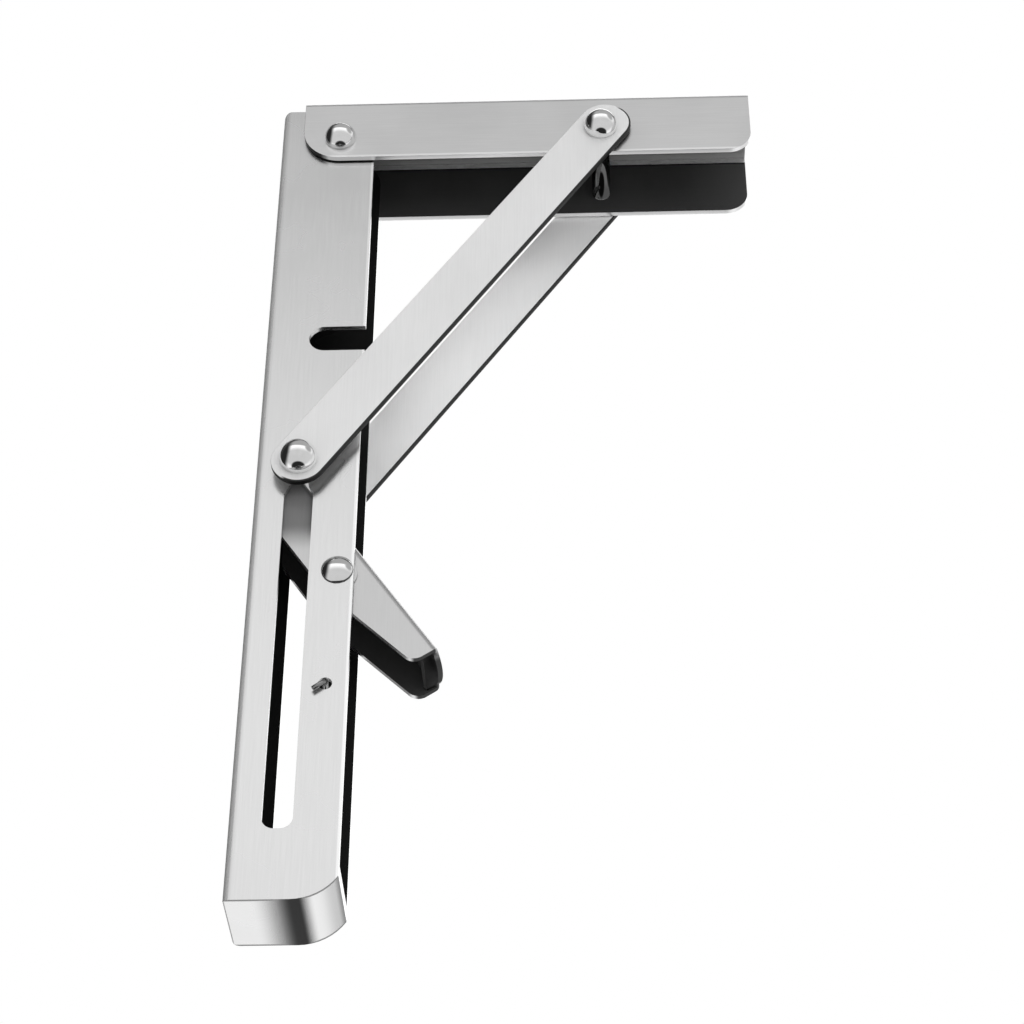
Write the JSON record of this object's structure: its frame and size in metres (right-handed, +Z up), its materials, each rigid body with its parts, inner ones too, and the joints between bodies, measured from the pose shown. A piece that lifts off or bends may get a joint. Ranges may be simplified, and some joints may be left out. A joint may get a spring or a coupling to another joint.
{
  "type": "folding shelf bracket",
  "caption": "Folding shelf bracket: a slotted wall channel, a hinged shelf arm, twin brace bars on a sliding pin and a sprung release lever; the arm folds down flat against the wall.",
  "frame": {"origin": "centre of the wall face, on the back of the wall channel at half its length, in the middle plane between the two sides", "axes": "+X out of the wall into the room, +Z up along the wall channel, the two sides are alike about Y = 0"},
  "size_m": [0.156, 0.0484, 0.3021],
  "materials": {
    "pressed_steel": "satin, bright pressed sheet",
    "bar_steel": "satin, a little brighter than the channels",
    "lever_steel": "satin",
    "polished_steel": "polished rivet heads",
    "plain_steel": "turned, plain",
    "spring_steel": "drawn wire"
  },
  "bodies": {
    "wall": {"wall_channel": "pressed_steel", "hinge_rivet": "polished_steel", "lever_rivet": "polished_steel", "lever_spring": "spring_steel", "left_hinge_washer": "plain_steel", "right_hinge_washer": "plain_steel", "left_lever_washer": "plain_steel", "right_lever_washer": "plain_steel"},
    "arm": {"shelf_arm": "pressed_steel", "brace_rivet": "polished_steel", "left_brace_washer": "plain_steel", "right_brace_washer": "plain_steel"},
    "brace": {"left_brace_bar": "bar_steel", "right_brace_bar": "bar_steel", "left_slide_head": "polished_steel", "right_slide_head": "polished_steel"},
    "slider": {"left_slide_pin": "plain_steel", "right_slide_pin": "plain_steel", "left_slide_spacer": "plain_steel", "right_slide_spacer": "plain_steel"},
    "lever": {"release_lever": "lever_steel", "lever_bush": "plain_steel"}
  },
  "joints": [
    {"name": "arm_fold", "type": "hinge", "parent": "wall", "child": "arm", "pos_m": [0.0198, 0, 0.1348], "axis": [0, 1, 0], "range_deg": [0, 90]},
    {"name": "brace_pivot", "type": "hinge", "parent": "arm", "child": "brace", "pos_m": [0.1064, 0, 0.1348], "axis": [0, 1, 0], "range_deg": [-121.7, 0]},
    {"name": "brace_slide", "type": "slide", "parent": "wall", "child": "slider", "axis": [0, 0, -1], "range_m": [0, 0.1148]},
    {"name": "lever_swing", "type": "hinge", "parent": "wall", "child": "lever", "pos_m": [0.0262, 0, -0.0416], "axis": [0, 1, 0], "range_deg": [0, 28], "stiffness_Nm_per_rad": 0.3, "springref_deg": -20.05, "deforming": ["lever_spring"]}
  ],
  "couplings": [
    {"joint": "brace_pivot", "follows": "arm_fold", "ratio": -1.3521},
    {"joint": "brace_slide", "follows": "arm_fold", "m_per_rad": 0.07307}
  ]
}
